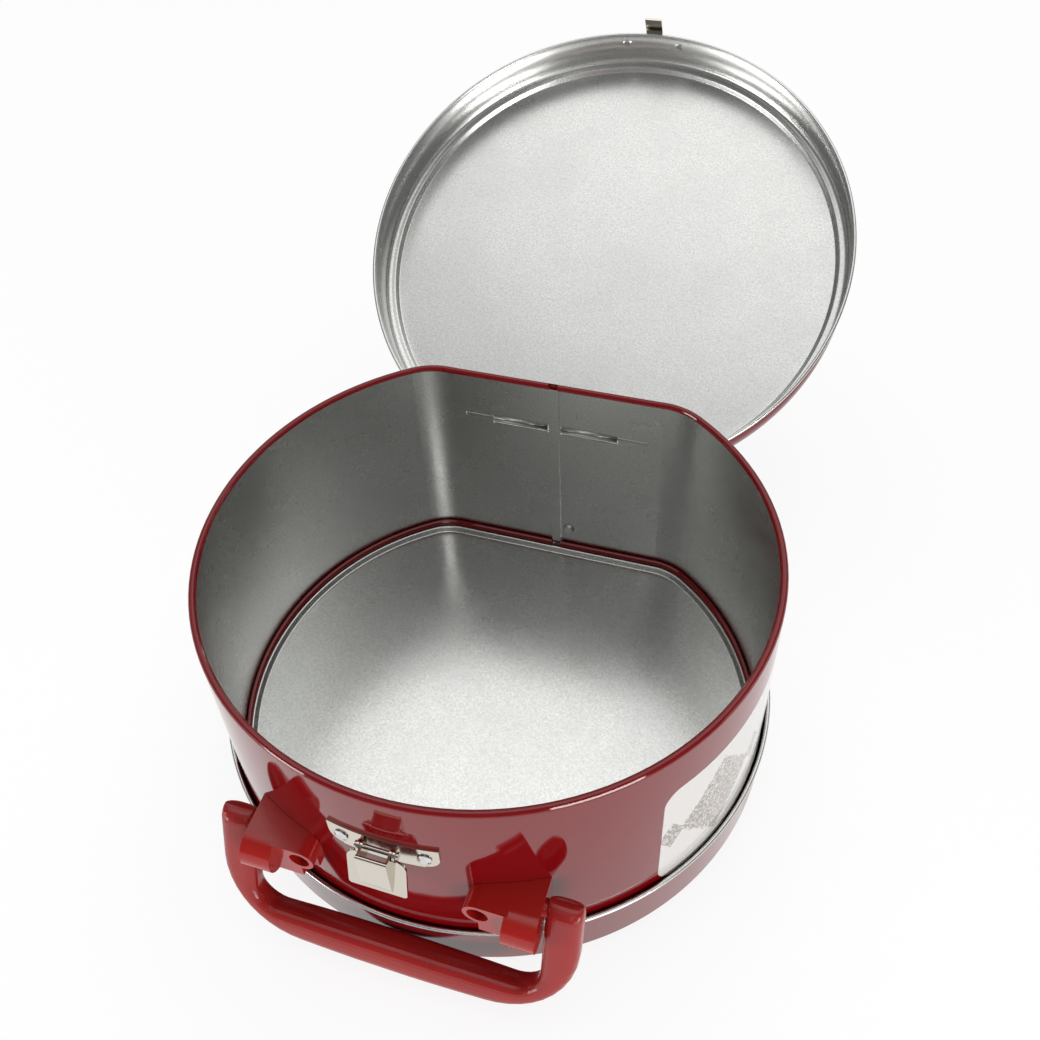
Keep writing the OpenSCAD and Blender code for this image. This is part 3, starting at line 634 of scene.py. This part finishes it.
# %% [markdown]
# ## Nickel, aluminium and wire
# The latch is pressed steel with bright nickel plating, warm and almost a mirror, with faint
# wipe marks. The rivets are soft aluminium, satin from the tumbler. The pins are drawn wire,
# whose grain runs along them. All three are one recipe with a colour, a roughness and a size of
# mark, because bare metals differ in little else.


# %% Hardware
def plated(name, colour, rough, scale, depth, stretch=(1, 1, 1)):
    """A plated or bare metal with fine marks. A stretch below 1 draws the marks out along that axis."""
    material, tree, surface = new_finish(name)
    position = add(tree, "TexCoord").outputs["Object"]
    along = add(tree, "Mapping", {"Vector": position, "Scale": stretch})
    marks = add(tree, "TexNoise", {"Vector": along.outputs[0], "Scale": 1 / scale, "Detail": 3.0,
                                   "Roughness": 0.6})
    bump = add(tree, "Bump", {"Height": marks.outputs["Fac"], "Strength": 0.15, "Distance": depth})
    drift = add(tree, "MapRange", {"Value": marks.outputs["Fac"], "From Min": NOISE_LOW,
                                   "From Max": NOISE_HIGH, "To Min": rough * 0.8, "To Max": rough * 1.3})
    shader = add(tree, "BsdfPrincipled", {"Base Color": linear(colour), "Metallic": 1.0,
                                          "Roughness": drift.outputs[0], "Normal": bump.outputs["Normal"]})
    tree.links.new(shader.outputs[0], surface)
    return material


nickel = plated("Steel_bright_nickel", "#D2CCC0", rough=0.10, scale=1.2 * MM, depth=0.03 * MM)
dress(nickel, "latch_plate", "hasp", "catch_plate")
aluminium = plated("Aluminium_rivet", "#DADADA", rough=0.28, scale=0.6 * MM, depth=0.04 * MM)
dress(aluminium, *[name for name in nodes if "rivet" in name])
wire = plated("Steel_drawn_wire", "#C9C7C2", rough=0.18, scale=0.4 * MM, depth=0.03 * MM,
              stretch=(0.08, 1, 1))
dress(wire, "hinge_pin_left", "hinge_pin_right", "hasp_pin")

# %% [markdown]
# ## The board
# The box lies on a large white board. More light would make the board white and wash out the box,
# so to the camera and in a mirror the board mostly shows a white of its own, and the rest of it is
# matt paint that keeps the box's shadow.

# %% Board
FLOOR_HALF = 4.0
OWN_WHITE, OWN_SHARE, BOARD_WHITE = 1.08, 0.8, "#F4F4F4"

floor_corners = [(FLOOR_HALF * x, FLOOR_HALF * y, 0.0) for x, y in ((-1, -1), (1, -1), (1, 1), (-1, 1))]
floor_mesh = bpy.data.meshes.new("floor")
floor_mesh.from_pydata(floor_corners, [], [(0, 1, 2, 3)])
floor = bpy.data.objects.new("floor", floor_mesh)
bpy.context.collection.objects.link(floor)
board, tree, surface = new_finish("Board_matt_white")
paint = add(tree, "BsdfDiffuse", {"Color": linear(BOARD_WHITE)})
white = add(tree, "Emission", {"Color": (1, 1, 1, 1), "Strength": OWN_WHITE})
path = add(tree, "LightPath")
seen = path.outputs["Is Camera Ray"]
for ray in ("Is Glossy Ray", "Is Transmission Ray"):
    seen = add(tree, "Math", {0: seen, 1: path.outputs[ray]}, operation="MAXIMUM").outputs[0]
share = add(tree, "Math", {0: seen, 1: OWN_SHARE}, operation="MULTIPLY")
mixed = add(tree, "MixShader", {0: share.outputs[0], 1: paint.outputs[0], 2: white.outputs[0]})
tree.links.new(mixed.outputs[0], surface)
floor_mesh.materials.append(board)
print("board of", 2 * FLOOR_HALF, "m")

# %% [markdown]
# ## The room
# Bright metal is only as lively as what it mirrors. The ceiling and the back of the room are lit
# and the front is left dim: the pan's floor and the lid show the ceiling, and the inside of the
# wall shows the dim front. One smooth ramp over the angle from a direction up and back does that,
# with no walls to build.

# %% Room
BRIGHT_SIDE = (0.0, 0.34, 0.94)
DIM_FROM, BRIGHT_FROM = 0.62, 0.96
DIM, BRIGHT = 0.17, 1.42

world = bpy.data.worlds.new("room")
bpy.context.scene.world = world
world.use_nodes = True
tree = world.node_tree
tree.nodes.clear()
direction = add(tree, "TexCoord").outputs["Generated"]
toward = add(tree, "VectorMath", {0: direction, 1: BRIGHT_SIDE}, operation="DOT_PRODUCT").outputs["Value"]
ramp = add(tree, "MapRange", {"Value": toward, "From Min": DIM_FROM, "From Max": BRIGHT_FROM,
                              "To Min": DIM, "To Max": BRIGHT}, interpolation_type="SMOOTHSTEP")
room = add(tree, "Background", {"Color": (1, 1, 1, 1), "Strength": ramp.outputs[0]})
tree.links.new(room.outputs[0], tree.nodes.new("ShaderNodeOutputWorld").inputs["Surface"])
print("room from", DIM, "to", BRIGHT)

# %% [markdown]
# ## Lamps
# A small lamp high in front draws the bright streaks down the corners of the wall. Two low, wide
# ones to the sides light the red outside. They stay low because the lid's rim mirrors what is
# higher up in front, and it should look dark.


# %% Lamps
def softbox(name, power, size, place, turn):
    """An area lamp: power in watts, width and height and place in metres, turn in degrees."""
    data = bpy.data.lights.new(name, "AREA")
    data.shape, data.energy, (data.size, data.size_y) = "RECTANGLE", power, size
    lamp = bpy.data.objects.new(name, data)
    lamp.location, lamp.rotation_euler = place, [math.radians(a) for a in turn]
    bpy.context.collection.objects.link(lamp)


softbox("front", power=1.1, size=(0.3, 0.45), place=(0.28, -1.1, 1.15), turn=(45, 0, 14))
softbox("right", power=9, size=(0.7, 0.3), place=(1.05, -0.95, 0.17), turn=(86, 0, 48))
softbox("left", power=6, size=(0.7, 0.3), place=(-1.1, -0.9, 0.17), turn=(86, 0, -51))
print("lamps:", [light.name for light in bpy.data.lights])
